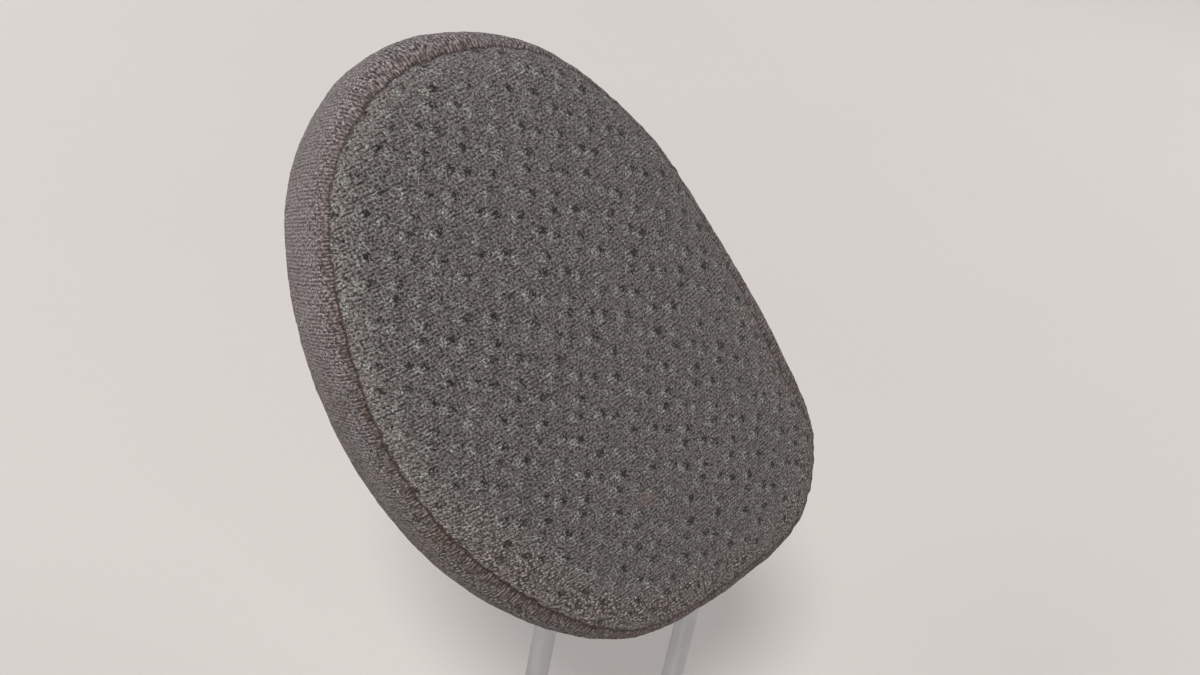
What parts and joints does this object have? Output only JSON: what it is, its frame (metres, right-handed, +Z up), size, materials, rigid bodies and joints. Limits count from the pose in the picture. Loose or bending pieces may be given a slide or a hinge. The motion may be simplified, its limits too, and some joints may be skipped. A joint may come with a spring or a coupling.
{
  "type": "car headrest",
  "caption": "Upholstered oval car headrest pad, leaning to one side on a bent steel rod whose two posts slide into the seat.",
  "frame": {"origin": "midway between the centres of the two post tips", "axes": "+Z up along the posts, -Y the way the patterned face looks, +X to the right seen from the front"},
  "size_m": [0.2214, 0.1596, 0.399],
  "materials": {
    "patterned_cloth": "grey moquette with a small diamond pattern",
    "band_cloth": "plain ribbed grey knit",
    "strip_plastic": "matte extruded plastic",
    "foam": "open moulded foam",
    "bare_steel": "drawn steel",
    "plated_steel": "bright plated"
  },
  "bodies": {
    "root": {"cover_front_panel": "patterned_cloth", "cover_side_band": "band_cloth", "cover_back_panel": "band_cloth", "closure_strip_outer": "strip_plastic", "closure_strip_inner": "strip_plastic", "foam_core": "foam", "support_hoop": "bare_steel", "cross_wire": "bare_steel", "support_plate": "bare_steel", "rod_frame": "plated_steel"}
  },
  "joints": []
}
